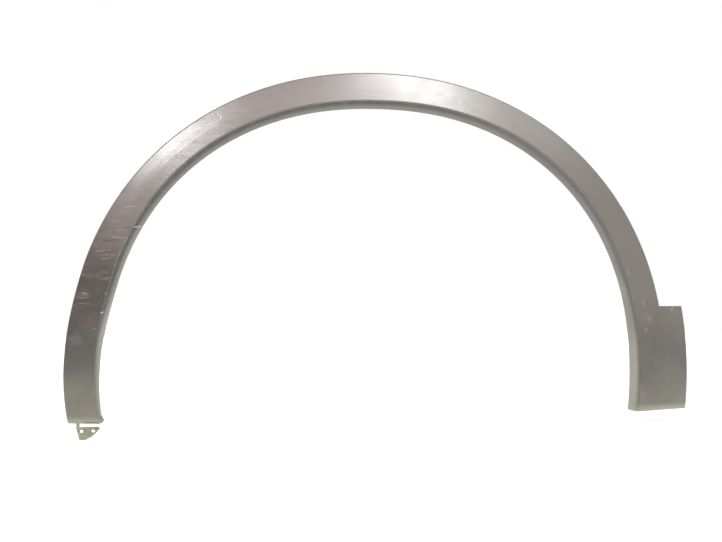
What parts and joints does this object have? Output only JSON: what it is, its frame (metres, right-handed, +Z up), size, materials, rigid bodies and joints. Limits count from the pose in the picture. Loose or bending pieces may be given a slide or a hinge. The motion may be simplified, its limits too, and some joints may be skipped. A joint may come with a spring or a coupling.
{
  "type": "wheel arch trim",
  "caption": "Arched car wheel-opening moulding with creased show face, return lip, stepped wide end, slotted screw tab and hidden push-in clips.",
  "frame": {"origin": "centre of the locating pin where it leaves its boss, in the plane of the body panel, midway over the wheel opening", "axes": "+Z up, +X towards the wide end, +Y inboard into the body, so the show face looks to -Y"},
  "size_m": [0.9055, 0.0307, 0.5221],
  "materials": {
    "moulded_plastic": "fine-grained satin, scuffed",
    "clip_nylon": "moulded satin"
  },
  "bodies": {
    "root": {"arch_moulding": "moulded_plastic", "push_in_clip_1": "clip_nylon", "push_in_clip_2": "clip_nylon", "push_in_clip_3": "clip_nylon", "push_in_clip_4": "clip_nylon", "push_in_clip_5": "clip_nylon", "push_in_clip_6": "clip_nylon", "push_in_clip_7": "clip_nylon", "push_in_clip_8": "clip_nylon", "push_in_clip_9": "clip_nylon"}
  },
  "joints": []
}
